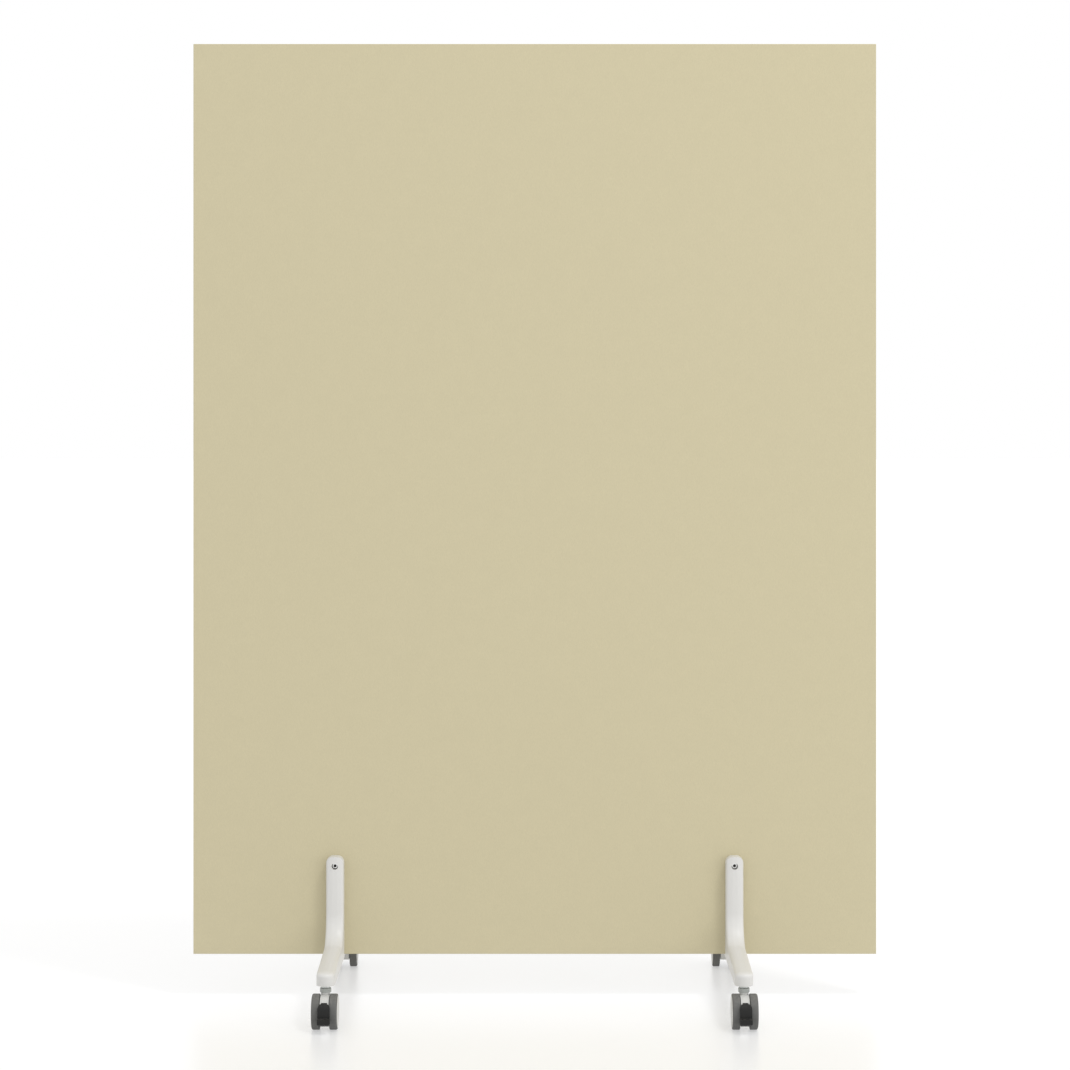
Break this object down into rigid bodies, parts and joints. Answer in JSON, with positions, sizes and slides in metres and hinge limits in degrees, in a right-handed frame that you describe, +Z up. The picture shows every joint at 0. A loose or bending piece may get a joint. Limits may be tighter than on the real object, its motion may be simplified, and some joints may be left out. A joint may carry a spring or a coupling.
{
  "type": "rolling partition",
  "caption": "Free-standing room divider: a plain frameless felt-faced board clamped in curved cast feet that roll on braked twin-wheel casters.",
  "frame": {"origin": "on the floor, under the middle of the board", "axes": "+Z up, the board is wide along X and its front faces -Y; the feet run along Y"},
  "size_m": [1.22, 0.5964, 1.7037],
  "materials": {
    "felt": "matte needled felt",
    "edging": "matte edge strip",
    "core_board": "raw light board",
    "white_coat": "satin white powder coat",
    "zinc_steel": "zinc plated",
    "bolt_steel": "bright zinc plated",
    "light_nylon": "light grey moulded nylon",
    "grey_nylon": "grey moulded nylon",
    "dark_nylon": "dark moulded nylon",
    "grey_tread": "soft grey polyurethane",
    "black_nylon": "black moulded nylon"
  },
  "bodies": {
    "partition": {"board_core": "core_board", "board_edging": "edging", "front_felt": "felt", "rear_felt": "felt", "left_foot": "white_coat", "right_foot": "white_coat", "bolt_spacers": "zinc_steel", "clamp_bolts": "bolt_steel", "sleeve_nuts": "bolt_steel", "caster_inserts": "zinc_steel", "caster_stems": "zinc_steel"},
    "front_left_caster": {"front_left_housing": "light_nylon", "front_left_swivel_collar": "grey_nylon", "front_left_axle": "zinc_steel", "front_left_pedal_pin": "zinc_steel"},
    "front_left_pedal": {"front_left_pedal": "black_nylon"},
    "front_left_inner_wheel": {"front_left_inner_rim": "dark_nylon", "front_left_inner_tyre": "grey_tread", "front_left_inner_cap": "light_nylon"},
    "front_left_outer_wheel": {"front_left_outer_rim": "dark_nylon", "front_left_outer_tyre": "grey_tread", "front_left_outer_cap": "light_nylon"},
    "front_right_caster": {"front_right_housing": "light_nylon", "front_right_swivel_collar": "grey_nylon", "front_right_axle": "zinc_steel", "front_right_pedal_pin": "zinc_steel"},
    "front_right_pedal": {"front_right_pedal": "black_nylon"},
    "front_right_inner_wheel": {"front_right_inner_rim": "dark_nylon", "front_right_inner_tyre": "grey_tread", "front_right_inner_cap": "light_nylon"},
    "front_right_outer_wheel": {"front_right_outer_rim": "dark_nylon", "front_right_outer_tyre": "grey_tread", "front_right_outer_cap": "light_nylon"},
    "rear_left_caster": {"rear_left_housing": "light_nylon", "rear_left_swivel_collar": "grey_nylon", "rear_left_axle": "zinc_steel", "rear_left_pedal_pin": "zinc_steel"},
    "rear_left_pedal": {"rear_left_pedal": "black_nylon"},
    "rear_left_inner_wheel": {"rear_left_inner_rim": "dark_nylon", "rear_left_inner_tyre": "grey_tread", "rear_left_inner_cap": "light_nylon"},
    "rear_left_outer_wheel": {"rear_left_outer_rim": "dark_nylon", "rear_left_outer_tyre": "grey_tread", "rear_left_outer_cap": "light_nylon"},
    "rear_right_caster": {"rear_right_housing": "light_nylon", "rear_right_swivel_collar": "grey_nylon", "rear_right_axle": "zinc_steel", "rear_right_pedal_pin": "zinc_steel"},
    "rear_right_pedal": {"rear_right_pedal": "black_nylon"},
    "rear_right_inner_wheel": {"rear_right_inner_rim": "dark_nylon", "rear_right_inner_tyre": "grey_tread", "rear_right_inner_cap": "light_nylon"},
    "rear_right_outer_wheel": {"rear_right_outer_rim": "dark_nylon", "rear_right_outer_tyre": "grey_tread", "rear_right_outer_cap": "light_nylon"}
  },
  "joints": [
    {"name": "front_left_swivel", "type": "hinge", "parent": "partition", "child": "front_left_caster", "pos_m": [-0.356, -0.24, 0.0602], "axis": [0, 0, 1], "continuous": true},
    {"name": "front_left_brake", "type": "hinge", "parent": "front_left_caster", "child": "front_left_pedal", "pos_m": [-0.356, -0.266, 0.0441], "axis": [1, 0, 0], "range_deg": [0, 10]},
    {"name": "front_left_inner_spin", "type": "hinge", "parent": "front_left_caster", "child": "front_left_inner_wheel", "pos_m": [-0.34075, -0.254, 0.03], "axis": [1, 0, 0], "continuous": true},
    {"name": "front_left_outer_spin", "type": "hinge", "parent": "front_left_caster", "child": "front_left_outer_wheel", "pos_m": [-0.37125, -0.254, 0.03], "axis": [1, 0, 0], "continuous": true},
    {"name": "front_right_swivel", "type": "hinge", "parent": "partition", "child": "front_right_caster", "pos_m": [0.356, -0.24, 0.0602], "axis": [0, 0, 1], "continuous": true},
    {"name": "front_right_brake", "type": "hinge", "parent": "front_right_caster", "child": "front_right_pedal", "pos_m": [0.356, -0.266, 0.0441], "axis": [1, 0, 0], "range_deg": [0, 10]},
    {"name": "front_right_inner_spin", "type": "hinge", "parent": "front_right_caster", "child": "front_right_inner_wheel", "pos_m": [0.34075, -0.254, 0.03], "axis": [1, 0, 0], "continuous": true},
    {"name": "front_right_outer_spin", "type": "hinge", "parent": "front_right_caster", "child": "front_right_outer_wheel", "pos_m": [0.37125, -0.254, 0.03], "axis": [1, 0, 0], "continuous": true},
    {"name": "rear_left_swivel", "type": "hinge", "parent": "partition", "child": "rear_left_caster", "pos_m": [-0.356, 0.24, 0.0602], "axis": [0, 0, 1], "continuous": true},
    {"name": "rear_left_brake", "type": "hinge", "parent": "rear_left_caster", "child": "rear_left_pedal", "pos_m": [-0.356, 0.266, 0.0441], "axis": [-1, 0, 0], "range_deg": [0, 10]},
    {"name": "rear_left_inner_spin", "type": "hinge", "parent": "rear_left_caster", "child": "rear_left_inner_wheel", "pos_m": [-0.34075, 0.254, 0.03], "axis": [1, 0, 0], "continuous": true},
    {"name": "rear_left_outer_spin", "type": "hinge", "parent": "rear_left_caster", "child": "rear_left_outer_wheel", "pos_m": [-0.37125, 0.254, 0.03], "axis": [1, 0, 0], "continuous": true},
    {"name": "rear_right_swivel", "type": "hinge", "parent": "partition", "child": "rear_right_caster", "pos_m": [0.356, 0.24, 0.0602], "axis": [0, 0, 1], "continuous": true},
    {"name": "rear_right_brake", "type": "hinge", "parent": "rear_right_caster", "child": "rear_right_pedal", "pos_m": [0.356, 0.266, 0.0441], "axis": [-1, 0, 0], "range_deg": [0, 10]},
    {"name": "rear_right_inner_spin", "type": "hinge", "parent": "rear_right_caster", "child": "rear_right_inner_wheel", "pos_m": [0.34075, 0.254, 0.03], "axis": [1, 0, 0], "continuous": true},
    {"name": "rear_right_outer_spin", "type": "hinge", "parent": "rear_right_caster", "child": "rear_right_outer_wheel", "pos_m": [0.37125, 0.254, 0.03], "axis": [1, 0, 0], "continuous": true}
  ]
}
